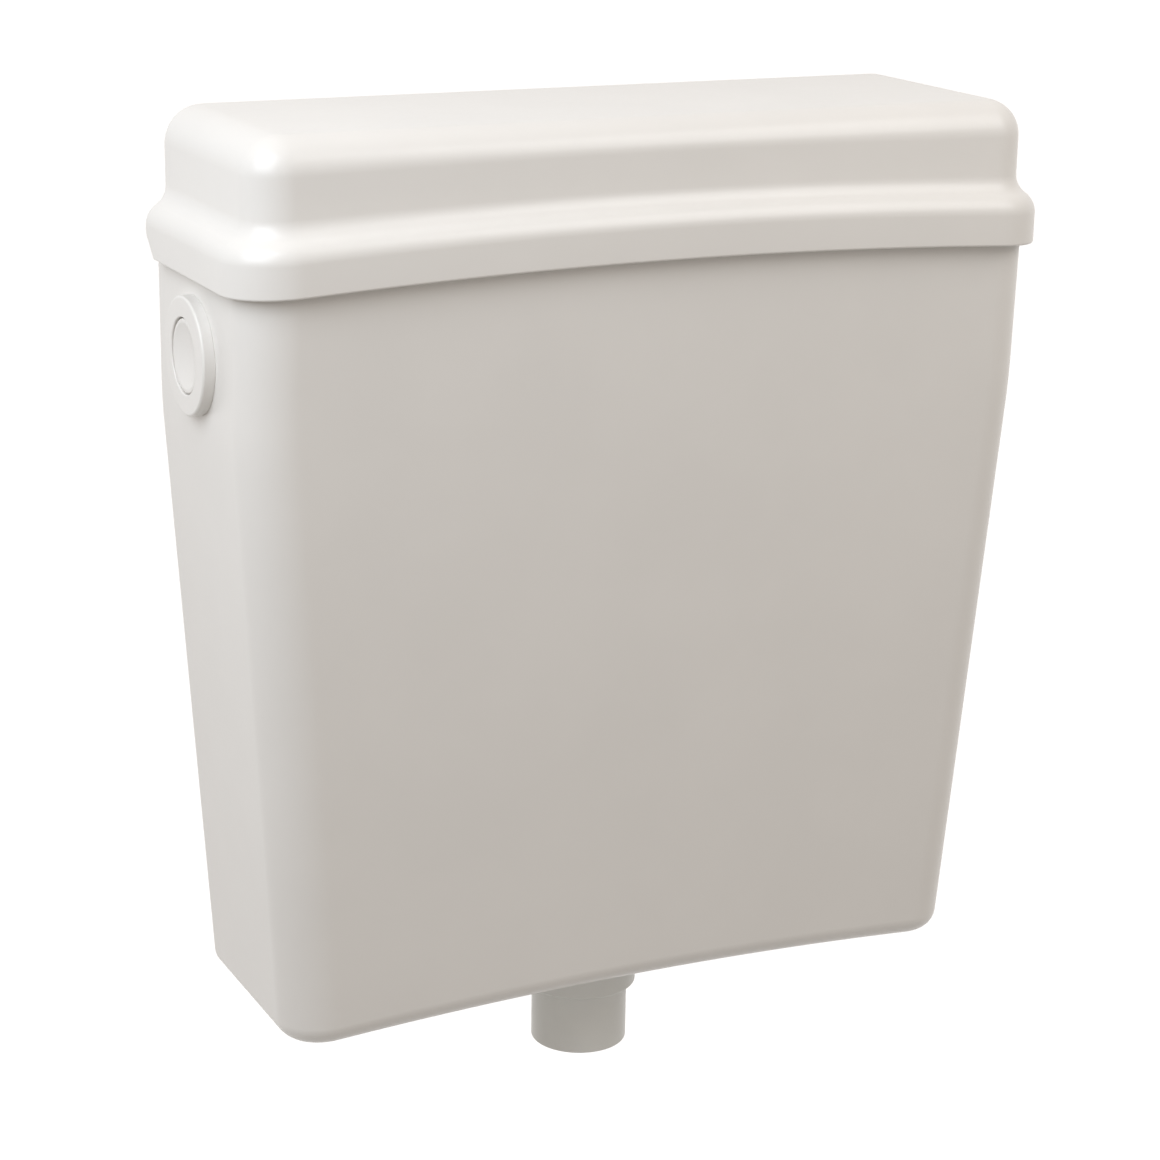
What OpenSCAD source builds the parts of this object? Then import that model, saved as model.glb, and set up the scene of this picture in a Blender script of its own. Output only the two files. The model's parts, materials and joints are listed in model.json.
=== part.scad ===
// Wall hung toilet cistern: tank, lid, side push button, lever, flush valve and float valve.
// Millimetres. +X is the user's right, +Y points into the wall and +Z is up.
// The origin is the middle of the two wall fixing holes, on the wall plane.
// The modules measure heights from the tank floor, and hung() brings them to the origin.

/* [Tank] */
// Width of the tank above the bend in its side walls
tank_width = 412; // [404:1:420]
// Width of the tank at its floor
floor_width = 370; // [362:1:378]
// Depth of the tank at the lid's lower edge, from the wall
tank_depth = 132; // [129:1:136]
// Depth of the tank at its floor
floor_depth = 119; // [116:1:123]
// Height of the bend in the side walls
bend_height = 301; // [297:1:303]
// Height of the lid's lower edge at its corners
lip_height = 371; // [369:1:378]
// Thickness of the tank's walls
tank_wall = 3.2; // [2.8:0.1:3.6]
// Radius of the upright front edges of the tank
tank_corner = 24; // [20:1:27]
// Radius of the upright rear edges of the tank
tank_rear_corner = 5; // [4:0.5:7]
// Radius round the edge of the floor
floor_edge = 11; // [8:1:13]
// Rise of the floor in the middle of its width
floor_arch = 7.2; // [5:0.2:9]

/* [Lid] */
// Overhang of the lid beyond the tank at each side
side_overhang = 6; // [5:0.5:8]
// Overhang of the lid beyond the tank at the front
front_overhang = 7; // [6:0.5:9]
// Height of the lid
lid_height = 70.6; // [67:0.2:76]
// Thickness of the lid
lid_wall = 3; // [2.6:0.1:3.4]
// Height of the lid's upright lip
lip_rise = 15; // [14:0.5:16]
// Step in from the lip to the upper part of the lid
shoulder_step = 10.2; // [9:0.2:11]
// Height of the curved shoulder above the lip
shoulder_rise = 18.6; // [17:0.2:20]
// Radius round the top of the lid
lid_edge = 18; // [15:1:20]
// Radius of the upright front edges of the lip
lip_corner = 30; // [26:1:33]
// Rise of the lip in the middle of the front
lip_arch = 7.1; // [5:0.1:8]
// Height of the tank rim above the lid's lower edge
rim_rise = 16; // [15:0.5:17]
// Slope cut from the rear ends of the lip
lip_relief = 16; // [12:1:18]

/* [Wall fixing] */
// Height of the fixing holes
fixing_height = 345; // [338:1:350]
// Distance between the fixing holes
fixing_spacing = 160; // [120:5:200]
// Diameter of the fixing holes
fixing_hole = 8; // [6:0.5:9]
// Diameter of the pads round the fixing holes
fixing_pad = 24; // [18:1:28]
// Thickness added by the pads round the fixing holes
fixing_pad_rise = 2.5; // [1:0.5:4]

/* [Push button] */
// Height of the button's axis
button_height = 333.5; // [331:0.5:335]
// Distance of the button's axis from the wall
button_depth = 57; // [52:1:60]
// Diameter of the bezel's flange against the wall
bezel_width = 56; // [50:1:57]
// Thickness of the bezel's flange
bezel_rise = 6; // [5:0.5:7]
// Bevel round the bezel's flange
bezel_bevel = 1.5; // [0.5:0.25:2]
// Diameter of the bezel's threaded sleeve
sleeve_width = 42; // [41:0.5:44]
// Thickness of the sleeve's end wall
sleeve_end = 2.5; // [2:0.5:3]
// Diameter of the button
button_width = 35; // [33:0.5:36]
// Gap round the button
button_gap = 0.5; // [0.4:0.1:0.8]
// Thickness of the button
button_thick = 6; // [5:0.5:7]
// Depth of the dish in the button's face
dish_depth = 2.4; // [1:0.2:3]
// Travel of the button
button_travel = 10.5; // [9:0.1:10.5]
// Diameter of the button's stem
stem_width = 12; // [10:0.5:13]
// Height of the bezel's backnut
bezel_nut_height = 8; // [6:0.5:10]
// Wire diameter of the return spring
spring_wire = 1.2; // [1:0.1:1.3]
// Mean diameter of the return spring
spring_width = 22; // [19:0.5:26]
// Turns of the return spring
spring_turns = 5; // [4:1:5]
// Diameter of the push rod
rod_width = 10; // [8:0.5:11]

/* [Lever] */
// Distance of the lever's pivot from the flush valve's axis
lever_reach = 62; // [58:1:66]
// Height of the lever's pivot above the push rod
lever_drop = 36; // [35:0.5:38]
// Thickness of the lever's arms
arm_thick = 8; // [7:0.5:9]
// Width of the lever's arms
arm_width = 12; // [10:0.5:13]
// Diameter of the lever's hub
hub_width = 16; // [14:0.5:17]
// Diameter of the lever's pin
lever_pin_width = 6; // [5:0.5:7]
// Thickness of the bracket's cheeks
cheek_thick = 4; // [3:0.5:5]

/* [Flush valve] */
// Distance of the outlet's axis from the wall
outlet_depth = 49; // [46:1:52]
// Diameter of the outlet spigot
spigot_width = 50; // [49:0.5:51]
// Free length of the outlet spigot
spigot_length = 32.5; // [28:0.5:36]
// Thickness of the spigot's wall
spigot_wall = 3; // [2.5:0.25:3.5]
// Diameter of the threaded tail under the tank
tail_width = 59; // [58:0.5:60]
// Length of the tail below the floor's corners
tail_drop = 20; // [18:0.5:24]
// Diameter of the valve seat's flange
flange_width = 78; // [77:0.5:82]
// Thickness of the valve seat's flange
flange_thick = 4; // [3:0.5:5]
// Height of the raised seat
seat_rise = 4; // [3:0.5:5]
// Width of the raised seat
seat_land = 3; // [2.5:0.25:3.5]
// Diameter of the waterway
waterway = 42; // [40:0.5:43]
// Thickness of the gasket on the floor
gasket_thick = 3; // [2:0.5:4]
// Thickness of the washer under the floor
washer_thick = 2; // [1.5:0.5:2.5]
// Height of the backnut under the floor
tail_nut_height = 9; // [7:0.5:9]
// Diameter of the overflow tube
tube_width = 28; // [26:0.5:29]
// Thickness of the overflow tube's wall
tube_wall = 2.2; // [1.8:0.1:2.6]
// Height of the overflow tube's top
overflow_height = 298; // [292:1:300]
// Diameter of the flush seal
seal_width = 60; // [57:0.5:61]
// Thickness of the flush seal
seal_thick = 3; // [2.5:0.25:3.5]
// Height of the cage's deck
deck_height = 62; // [60:1:70]
// Height of the cage's guide
guide_height = 250; // [240:1:255]
// Thickness of the cage's guide
guide_wall = 3.7; // [3:0.1:4.5]

/* [Float valve] */
// Height of the float valve's axis
inlet_height = 331; // [329:1:334]
// Distance of the float valve's axis from the wall
inlet_depth = 50; // [46:1:54]
// Diameter of the shank through the tank's wall
shank_width = 24; // [23:0.5:25]
// Diameter of the inlet tail
tail_pipe_width = 20.96; // [20:0.02:21.5]
// Free length of the inlet tail
tail_pipe_length = 20; // [16:1:22]
// Height of the inlet's backnut
inlet_nut_height = 8; // [6:0.5:9]
// Diameter of the barrel
barrel_width = 23; // [22:0.5:25]
// Length of the barrel
barrel_length = 54; // [52:1:58]
// Diameter of the piston
piston_width = 16; // [15:0.5:17]
// Length of the piston
piston_length = 26; // [25:0.5:27]
// Length of the lever's nose in the piston
nose_length = 14; // [13:0.5:15]
// Diameter of the nose's tip
nose_width = 6; // [5:0.5:6.5]
// Turn of the float arm from drained to full, in degrees
float_swing = 30; // [24:1:32]
// Angle of the drained float arm below level, in degrees
float_hang = 48; // [44:1:50]
// Distance of the float's centre from its pivot
float_reach = 88; // [84:1:92]
// Diameter of the float
float_width = 70; // [64:1:74]
// Diameter of the float arm
float_arm_width = 6.4; // [5:0.2:7]
// Length of the fill tube
fill_tube_length = 100; // [80:5:110]

/* [Hidden] */
$fn = 64;

// Colours of the moulded plastics, rubbers and metals
white = "#ebe8e3";
shade_white = "#dedad3";
black_rubber = "#2b2b2c";
steel = "#b9bcc0";
blue = "#3f6fa8";
red = "#b8443a";
brass = "#c9a860";

// Clearances
press_fit = 0.02;
slide_fit = 0.05;
running_gap = 0.3;
easy_gap = 0.75;

// Steps round each corner, along the long edges and round each moulded edge
corner_steps = 6;
edge_steps = 12;
round_steps = 5;
half_count = 2 * corner_steps + edge_steps + 1;

// Places of the tank's faces
wall_x = tank_width / 2;
inner_x = wall_x - tank_wall;
rim_height = lip_height + rim_rise;

// Heights at the outlet
boss_rise = 1.3;
boss_under = floor_arch - boss_rise;
boss_top = floor_arch + tank_wall + boss_rise;
flange_base = boss_top + gasket_thick;
flange_top = flange_base + flange_thick;
seat_height = flange_top + seat_rise;
seal_top = seat_height + seal_thick;
disc_thick = 3.5;
socket_top = -tail_drop + 20;
neck_width = spigot_width - 2;
spigot_end = -tail_drop - spigot_length;

// Places of the lever and of the rod that pushes it
pivot_height = button_height + lever_drop;
tip_x = -lever_reach - arm_thick / 2 - rod_width / 2 - running_gap;
lift_pin_width = 6;
lift_pin_height = pivot_height + arm_thick / 2 + lift_pin_width / 2 + running_gap;
cheek_inner = arm_width / 2 + 1.5;
cheek_outer = cheek_inner + cheek_thick;
pad_half = abs(button_depth - outlet_depth) + rod_width / 2 + 2;

// Places of the button's pieces along its axis
bezel_face = -wall_x - bezel_rise;
button_face = bezel_face + 0.6;
button_back = button_face + button_thick;
spring_solid = spring_wire * (spring_turns + 1);
spring_spare = 1.2;
spring_rest = button_travel + spring_solid + spring_spare;
sleeve_back = button_back + spring_rest + sleeve_end;
sleeve_depth = sleeve_back + wall_x;

// Places of the float valve's pieces along its axis
inlet_washer_thick = 2;
body_flange_thick = 3;
barrel_right = inner_x - inlet_washer_thick - body_flange_thick;
barrel_left = barrel_right - barrel_length;
chamber_right = barrel_right - 8;
nozzle_tip = chamber_right - 6.3;
piston_travel = 2 * nose_length * sin(float_swing / 2);
nozzle_width = 12;
nozzle_depth = 12;
piston_washer_width = 10;
piston_washer_seat = 2.5;
washer_proud = 0.8;
piston_right = nozzle_tip - running_gap - piston_travel - washer_proud;
piston_left = piston_right - piston_length;
slot_x = piston_left + 11;
float_pivot_x = slot_x + piston_travel / 2;
float_pivot_z = inlet_height - barrel_width / 2 - 6;
spout_x = nozzle_tip - 0.7;
spout_width = 15;
shank_end = wall_x + inlet_nut_height + 1;

// Shapes shared by the pieces

module hung() {
    translate([0, 0, -fixing_height]) children();
}

module along_x(x, y, z) {
    translate([x, y, z]) rotate([0, 90, 0]) children();
}

module along_y(x, y, z) {
    translate([x, y, z]) rotate([-90, 0, 0]) children();
}

module at_button(x) {
    along_x(x, -button_depth, button_height) children();
}

module at_outlet(z) {
    translate([0, -outlet_depth, z]) children();
}

module at_inlet(x) {
    along_x(x, -inlet_depth, inlet_height) children();
}

module ring(outer, inner, height) {
    difference() {
        cylinder(d = outer, h = height);
        translate([0, 0, -1]) cylinder(d = inner, h = height + 2);
    }
}

module block(low, high) {
    translate(low) cube(high - low);
}

// Quarter arc of plan points, and points between two ends of a straight edge
function arc(x, y, radius, from) =
    [for (i = [0:corner_steps]) let (a = from + 90 * i / corner_steps)
        [x + radius * cos(a), y + radius * sin(a)]];
function between(a, b) = [for (i = [1:edge_steps - 1]) a + (b - a) * i / edge_steps];

// Plan of a box with round corners: the front from left to right, then the rear back to the left
function plan(half, front, rear, front_radius, rear_radius) =
    let (
        front_left = arc(-half + front_radius, front + front_radius, front_radius, 180),
        front_right = arc(half - front_radius, front + front_radius, front_radius, 270),
        rear_right = arc(half - rear_radius, rear - rear_radius, rear_radius, 0),
        rear_left = arc(-half + rear_radius, rear - rear_radius, rear_radius, 90)
    )
    concat(front_left, between(front_left[corner_steps], front_right[0]), front_right,
        rear_right, between(rear_right[corner_steps], rear_left[0]), rear_left);

// Rise of an arch at a place across its width
function arch(x, half, rise) = rise * (1 - pow(min(1, abs(x) / half), 2));

// Closed skin over a list of levels with equal counts of points
module skin(levels) {
    count = 2 * half_count;
    last = (len(levels) - 1) * count;
    sides = [for (k = [0:len(levels) - 2]) for (i = [0:count - 1])
        let (a = k * count + i, b = k * count + (i + 1) % count)
        each [[a, a + count, b + count], [a, b + count, b]]];
    first_cap = [for (i = [0:half_count - 2])
        each [[i, i + 1, count - 2 - i], [i, count - 2 - i, count - 1 - i]]];
    last_cap = [for (i = [0:half_count - 2])
        each [[last + i + 1, last + i, last + count - 1 - i],
            [last + i + 1, last + count - 1 - i, last + count - 2 - i]]];
    polyhedron([for (level = levels) each level], concat(sides, first_cap, last_cap));
}

// Tank

function tank_half(z) = floor_width / 2 + (tank_width - floor_width) / 2 * min(1, z / bend_height);
function tank_front(z) = floor_depth + (tank_depth - floor_depth) * z / lip_height;

// One level of the tank: its height, how far it lies inside the outer face, and its rise in the middle
function tank_level(z, inset, rise) =
    let (points = plan(tank_half(z) - inset, -tank_front(z) + inset, -inset,
        max(tank_corner - inset, 3), max(tank_rear_corner - inset, 1)))
    [for (i = [0:len(points) - 1])
        let (p = points[i], up = arch(p.x, tank_half(z), rise),
            forward = i < half_count ? tank_front(z + up) - tank_front(z) : 0)
        [p.x, p.y - forward, z + up]];

function round_level(base, inset, radius, k) =
    let (a = 90 * k / round_steps)
    tank_level(base + radius * (1 - cos(a)), inset + radius * (1 - sin(a)), floor_arch);

module tank_shell() {
    inner_edge = floor_edge - tank_wall;
    skin(concat(
        [for (k = [0:round_steps]) round_level(0, 0, floor_edge, k)],
        [tank_level(bend_height, 0, 0), tank_level(rim_height, 0, 0)],
        [tank_level(rim_height, tank_wall, 0), tank_level(bend_height, tank_wall, 0)],
        [for (k = [round_steps:-1:0]) round_level(tank_wall, tank_wall, inner_edge, k)]));
}

module tank() {
    color(white) difference() {
        union() {
            tank_shell();
            at_outlet(boss_under) cylinder(d = flange_width + 4, h = boss_top - boss_under);
            for (side = [-1, 1])
                along_y(side * fixing_spacing / 2, -tank_wall - fixing_pad_rise, fixing_height)
                    cylinder(d = fixing_pad, h = fixing_pad_rise + tank_wall / 2);
        }
        at_outlet(boss_under - 10) cylinder(d = tail_width + 2 * easy_gap, h = 30);
        at_button(-wall_x - 5) cylinder(d = sleeve_width + 2 * running_gap, h = 15);
        at_inlet(inner_x - 5) cylinder(d = shank_width + 2 * running_gap, h = 15);
        for (side = [-1, 1])
            along_y(side * fixing_spacing / 2, -tank_wall - fixing_pad_rise - 5, fixing_height)
                cylinder(d = fixing_hole, h = 15);
    }
}

// Lid

// One level of the lid: height above its lower edge, inset from the lip, inset at the rear and rise in front
function lid_level(height, inset, rear_inset, rise) =
    let (half = wall_x + side_overhang,
        points = plan(half - inset, -tank_depth - front_overhang + inset, -rear_inset,
            max(lip_corner - inset, 4), max(6 - rear_inset, 2)))
    [for (i = [0:len(points) - 1])
        let (p = points[i])
        [p.x, p.y, lip_height + height + (i < half_count ? arch(p.x, half, rise) : 0)]];

// The arch of the lip fades out towards the flat top
function lid_rise(height) = lip_arch * (1 - pow(height / lid_height, 2));

// The shoulder is two equal arcs that bend out and back again
shoulder_turn = 2 * atan(shoulder_step / shoulder_rise);
shoulder_radius = shoulder_rise / (2 * sin(shoulder_turn));
lid_rear_edge = 4;

function outer_lid_level(height, inset, rear_inset) = lid_level(height, inset, rear_inset, lid_rise(height));

function lid_shoulder() = concat(
    [for (k = [0:round_steps]) let (a = shoulder_turn * k / round_steps)
        outer_lid_level(lip_rise + shoulder_radius * sin(a), shoulder_radius * (1 - cos(a)), 0)],
    [for (k = [round_steps - 1:-1:0]) let (a = shoulder_turn * k / round_steps)
        outer_lid_level(lip_rise + shoulder_rise - shoulder_radius * sin(a),
            shoulder_step - shoulder_radius * (1 - cos(a)), 0)]);

function lid_top(k) =
    let (a = 90 * k / round_steps)
    outer_lid_level(lid_height - lid_edge * (1 - sin(a)), shoulder_step + lid_edge * (1 - cos(a)),
        lid_rear_edge * (1 - cos(a)));

function lid_ceiling(k) =
    let (a = 90 * k / round_steps, radius = lid_edge - lid_wall)
    lid_level(lid_height - lid_edge + radius * sin(a), shoulder_step + lid_wall + radius * (1 - cos(a)),
        lid_wall + 1, 0);

module lid() {
    color(white) difference() {
        skin(concat(
            [for (k = [round_steps:-1:0]) lid_ceiling(k)],
            [lid_level(rim_rise, shoulder_step + lid_wall, lid_wall + 1, 0)],
            [lid_level(rim_rise, lid_wall, lid_wall, 0), lid_level(0, lid_wall, lid_wall, lip_arch)],
            [outer_lid_level(0, 0, 0)],
            lid_shoulder(),
            [for (k = [0:round_steps]) lid_top(k)]));
        // The tank's back wall stands in the place of a rear lip
        rear_half = wall_x + side_overhang - lid_wall / 2;
        block([-rear_half, -tank_wall - 1.3, lip_height - 1], [rear_half, 1, rim_height]);
        // The lip's rear ends slope up to the wall
        translate([-wall_x - 20, 0, lip_height]) rotate([90, 0, 90]) linear_extrude(tank_width + 40)
            polygon([[-lip_relief - 1, -1], [1, -1], [1, lip_relief + 1]]);
    }
}

// Push button

module button_bezel() {
    bore = button_width + 2 * button_gap;
    color(white) difference() {
        union() {
            at_button(bezel_face)
                cylinder(d1 = bezel_width - 2 * bezel_bevel, d2 = bezel_width, h = bezel_bevel);
            at_button(bezel_face + bezel_bevel) cylinder(d = bezel_width, h = bezel_rise - bezel_bevel);
            at_button(-wall_x) cylinder(d = sleeve_width, h = sleeve_depth);
        }
        at_button(bezel_face - 1) cylinder(d = bore, h = bezel_rise + sleeve_depth - sleeve_end + 1);
        at_button(sleeve_back - 10) cylinder(d = stem_width + 2 * running_gap, h = 12);
    }
}

module bezel_nut() {
    color(shade_white) difference() {
        union() {
            at_button(-inner_x) ring(sleeve_width + 12, sleeve_width + 2 * slide_fit, bezel_nut_height);
            for (a = [0:60:300])
                at_button(-inner_x) rotate([0, 0, a])
                    translate([sleeve_width / 2 + 5, -3, 0]) cube([4, 6, bezel_nut_height]);
        }
        at_button(-inner_x - 1) cylinder(d = sleeve_width + 2 * slide_fit, h = bezel_nut_height + 2);
    }
}

module push_button() {
    dish_half = button_width / 2 - 2;
    dish_radius = (dish_half * dish_half + dish_depth * dish_depth) / (2 * dish_depth);
    color(white) difference() {
        union() {
            at_button(button_face) cylinder(d1 = button_width - 1.6, d2 = button_width, h = 0.8);
            at_button(button_face + 0.8) cylinder(d = button_width, h = button_thick - 0.8);
            at_button(button_back - 1) cylinder(d = stem_width, h = sleeve_back - button_back + 1);
        }
        translate([button_face - dish_radius + dish_depth, -button_depth, button_height])
            sphere(r = dish_radius, $fn = 96);
        at_button(sleeve_back - 12) cylinder(d = stem_width / 2, h = 13);
    }
}

// Centre line of the return spring, and the points round its wire
spring_length = spring_rest - spring_wire - 0.4;
spring_rings = 8 * spring_turns;
function spring_angle(i) = 360 * spring_turns * i / spring_rings;
function spring_point(i) = [button_back + spring_wire / 2 + 0.2 + spring_length * i / spring_rings,
    -button_depth + spring_width / 2 * cos(spring_angle(i)),
    button_height + spring_width / 2 * sin(spring_angle(i))];
function spring_ring(i) = [for (s = [0:5])
    spring_point(i) + spring_wire / 2 * (cos(60 * s) * [0, cos(spring_angle(i)), sin(spring_angle(i))]
        + sin(60 * s) * [1, 0, 0])];
spring_gap = min([for (i = [0:spring_rings]) for (j = [i + 5:1:spring_rings])
    norm(spring_point(i) - spring_point(j))]) - spring_wire;
echo(least_gap_between_spring_turns = spring_gap);

module button_spring() {
    end = 6 * spring_rings;
    color(steel) polyhedron(
        [for (i = [0:spring_rings]) each spring_ring(i)],
        concat(
            [for (i = [0:spring_rings - 1]) for (s = [0:5])
                let (a = 6 * i + s, b = 6 * i + (s + 1) % 6)
                each [[a, b + 6, a + 6], [a, b, b + 6]]],
            [for (s = [1:4]) [0, s + 1, s]],
            [for (s = [1:4]) [end, end + s, end + s + 1]]));
}

module push_rod() {
    color(shade_white) union() {
        at_button(sleeve_back - 11) cylinder(d = stem_width / 2 - 2 * slide_fit, h = 12);
        at_button(sleeve_back) cylinder(d = stem_width + 6, h = 2.5);
        at_button(sleeve_back) cylinder(d = rod_width, h = tip_x - sleeve_back);
        translate([tip_x, -button_depth, button_height]) sphere(d = rod_width);
    }
}

// Lever and its bracket

module flush_lever() {
    color(blue) difference() {
        union() {
            along_y(-lever_reach, -outlet_depth - cheek_inner + running_gap, pivot_height)
                cylinder(d = hub_width, h = 2 * (cheek_inner - running_gap));
            translate([-lever_reach, -outlet_depth, pivot_height]) {
                block([0, -arm_width / 2, -arm_thick / 2], [lever_reach + 8, arm_width / 2, arm_thick / 2]);
                block([-arm_thick / 2, -arm_width / 2, -lever_drop], [arm_thick / 2, arm_width / 2, 0]);
                block([-arm_thick / 2, -pad_half, -lever_drop - 9],
                    [arm_thick / 2, pad_half, -lever_drop + 9]);
            }
            along_y(8, -outlet_depth - arm_width / 2, pivot_height) cylinder(d = arm_thick, h = arm_width);
        }
        along_y(-lever_reach, -outlet_depth - 20, pivot_height)
            cylinder(d = lever_pin_width + 2 * slide_fit, h = 40);
    }
}

module lever_pin() {
    color(steel) along_y(-lever_reach, -outlet_depth - cheek_outer - 1, pivot_height)
        cylinder(d = lever_pin_width, h = 2 * cheek_outer + 2);
}

module lever_bracket() {
    base = guide_height - 16;
    socket = tube_width + 2 * running_gap + 2 * guide_wall + 2 * slide_fit;
    post_left = -lever_reach + 22;
    cheek_base = pivot_height - hub_width / 2 - 8;
    color(shade_white) difference() {
        union() {
            at_outlet(base) cylinder(d = socket + 8, h = 14);
            at_outlet(0) {
                block([post_left, -cheek_outer, base], [-socket / 2 - 1, cheek_outer, base + 14]);
                block([post_left, -cheek_outer, base], [post_left + 12, cheek_outer, cheek_base]);
                for (side = [-1, 1]) {
                    low = side > 0 ? cheek_inner : -cheek_outer;
                    block([-lever_reach - hub_width / 2, low, cheek_base - 3],
                        [post_left + 12, low + cheek_thick, pivot_height + hub_width / 2]);
                }
            }
        }
        at_outlet(base - 1) cylinder(d = socket, h = 30);
        along_y(-lever_reach, -outlet_depth - 30, pivot_height)
            cylinder(d = lever_pin_width + 2 * press_fit, h = 60);
    }
}

// Flush valve

module lift_yoke() {
    base = overflow_height - 16;
    post_in = tube_width / 2 + 0.4;
    color(blue) difference() {
        union() {
            at_outlet(base) cylinder(d = tube_width + 9, h = 12);
            for (side = [-1, 1])
                at_outlet(0) {
                    low = side > 0 ? post_in : -post_in - 4;
                    block([-5, low, base], [5, low + 4, lift_pin_height + 6]);
                }
        }
        at_outlet(base - 1) cylinder(d = tube_width + 2 * slide_fit, h = 14);
        along_y(0, -outlet_depth - 40, lift_pin_height) cylinder(d = lift_pin_width + 2 * press_fit, h = 80);
    }
}

module lift_pin() {
    half = tube_width / 2 + 5;
    color(steel) along_y(0, -outlet_depth - half, lift_pin_height) cylinder(d = lift_pin_width, h = 2 * half);
}

module overflow_tube() {
    color(white) difference() {
        union() {
            at_outlet(seat_height - 3) cylinder(d = tube_width, h = overflow_height - seat_height + 3);
            at_outlet(seat_height - 3) cylinder(d = tube_width + 3, h = 2.8);
            at_outlet(seal_top) cylinder(d = seal_width, h = disc_thick);
            at_outlet(overflow_height - 18) cylinder(d = tube_width + 5, h = 2);
        }
        at_outlet(seat_height - 5) cylinder(d = tube_width - 2 * tube_wall, h = overflow_height);
    }
}

module flush_seal() {
    color(black_rubber) at_outlet(seat_height) ring(seal_width, tube_width + 2 * slide_fit, seal_thick);
}

module valve_cage() {
    bore = tube_width + 2 * running_gap;
    leg_thick = 4.5;
    leg_inner = seal_width / 2 + 3;
    color(shade_white) difference() {
        union() {
            at_outlet(flange_top) ring(2 * (leg_inner + leg_thick), 2 * leg_inner, 5);
            for (a = [45:90:315])
                at_outlet(0) rotate([0, 0, a])
                    block([leg_inner, -5, flange_top], [leg_inner + leg_thick - 0.5, 5, deck_height + 2]);
            at_outlet(deck_height) cylinder(d = 2 * (leg_inner + leg_thick), h = 4);
            at_outlet(deck_height) cylinder(d = bore + 2 * guide_wall, h = guide_height - deck_height);
            at_outlet(guide_height - 20) cylinder(d = bore + 2 * guide_wall + 6, h = 4);
        }
        at_outlet(deck_height - 1) cylinder(d = bore, h = guide_height);
    }
}

module valve_seat() {
    color(shade_white) difference() {
        union() {
            at_outlet(flange_base) cylinder(d = flange_width, h = flange_thick);
            at_outlet(-tail_drop) cylinder(d = tail_width, h = tail_drop + flange_base + 1);
            at_outlet(flange_top - 1) cylinder(d = waterway + 2 * seat_land, h = seat_rise + 1);
        }
        at_outlet(-tail_drop - 1) cylinder(d = waterway, h = 80);
        at_outlet(-tail_drop - 1) cylinder(d = neck_width + 2 * slide_fit, h = socket_top + tail_drop + 1);
    }
}

module seat_gasket() {
    color(black_rubber) at_outlet(boss_top) ring(flange_width - 2, tail_width + 2 * slide_fit, gasket_thick);
}

module tail_washer() {
    color(black_rubber) at_outlet(boss_under - washer_thick)
        ring(flange_width - 6, tail_width + 2 * slide_fit, washer_thick);
}

module tail_nut() {
    height = tail_nut_height;
    color(white) at_outlet(boss_under - washer_thick - height) difference() {
        union() {
            cylinder(d = tail_width + 14, h = height, $fn = 6);
            translate([0, 0, height - 2]) cylinder(d = tail_width + 12, h = 2);
        }
        translate([0, 0, -1]) cylinder(d = tail_width + 2 * slide_fit, h = height + 2);
    }
}

module outlet_spigot() {
    bore = spigot_width - 2 * spigot_wall;
    color(white) difference() {
        union() {
            at_outlet(spigot_end) cylinder(d = spigot_width, h = spigot_length);
            at_outlet(spigot_end) cylinder(d = neck_width, h = socket_top - spigot_end);
        }
        at_outlet(spigot_end - 1) cylinder(d = bore, h = socket_top - spigot_end + 2);
    }
}

// Float valve

module at_float_pivot() {
    translate([float_pivot_x, -inlet_depth, float_pivot_z]) children();
}

ear_inner = 4.3;
ear_outer = 7.8;
float_pin_width = 4;
collar_bottom = inlet_height - barrel_width / 2 - 1.5;

module float_valve_body() {
    color(white) difference() {
        union() {
            at_inlet(barrel_left) cylinder(d = barrel_width, h = barrel_length + 1);
            at_inlet(barrel_right) cylinder(d = shank_width + 10, h = body_flange_thick);
            at_inlet(barrel_right) cylinder(d = shank_width, h = shank_end - barrel_right);
            at_inlet(shank_end - 1) cylinder(d = tail_pipe_width, h = tail_pipe_length + 1);
            translate([spout_x, -inlet_depth, collar_bottom])
                cylinder(d = spout_width + 4, h = inlet_height - collar_bottom);
            translate([spout_x, -inlet_depth, collar_bottom - 13]) cylinder(d = spout_width, h = 20);
            for (side = [-1, 1]) {
                low = side > 0 ? ear_inner : -ear_outer;
                at_float_pivot() block([-7, low, -6], [7, low + ear_outer - ear_inner, 9.5]);
            }
        }
        at_inlet(barrel_left - 1)
            cylinder(d = piston_width + 2 * slide_fit, h = chamber_right - barrel_left + 1);
        at_inlet(chamber_right - 1) cylinder(d = nozzle_width, h = nozzle_depth + 1);
        at_inlet(chamber_right) cylinder(d = nozzle_width - 3, h = 100);
        translate([spout_x, -inlet_depth, collar_bottom - 14]) cylinder(d = spout_width - 6, h = 28);
        at_float_pivot() block([-9.5, -ear_inner, 4], [9.5, ear_inner, 14]);
        along_y(float_pivot_x, -inlet_depth - 20, float_pivot_z)
            cylinder(d = float_pin_width + 2 * press_fit, h = 40);
    }
}

module inlet_washer() {
    color(black_rubber) at_inlet(inner_x - inlet_washer_thick)
        ring(shank_width + 9, shank_width + 2 * slide_fit, inlet_washer_thick);
}

module inlet_nut() {
    color(white) difference() {
        at_inlet(wall_x) cylinder(d = shank_width + 14, h = inlet_nut_height, $fn = 6);
        at_inlet(wall_x - 1) cylinder(d = shank_width + 2 * slide_fit, h = inlet_nut_height + 2);
    }
}

module inlet_nozzle() {
    width = nozzle_width - 2 * slide_fit;
    color(brass) difference() {
        union() {
            at_inlet(nozzle_tip + 2) cylinder(d = width, h = chamber_right + nozzle_depth - nozzle_tip - 2);
            at_inlet(nozzle_tip) cylinder(d1 = 6, d2 = width, h = 2);
        }
        at_inlet(nozzle_tip - 1) cylinder(d = 3.2, h = 40);
    }
}

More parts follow.
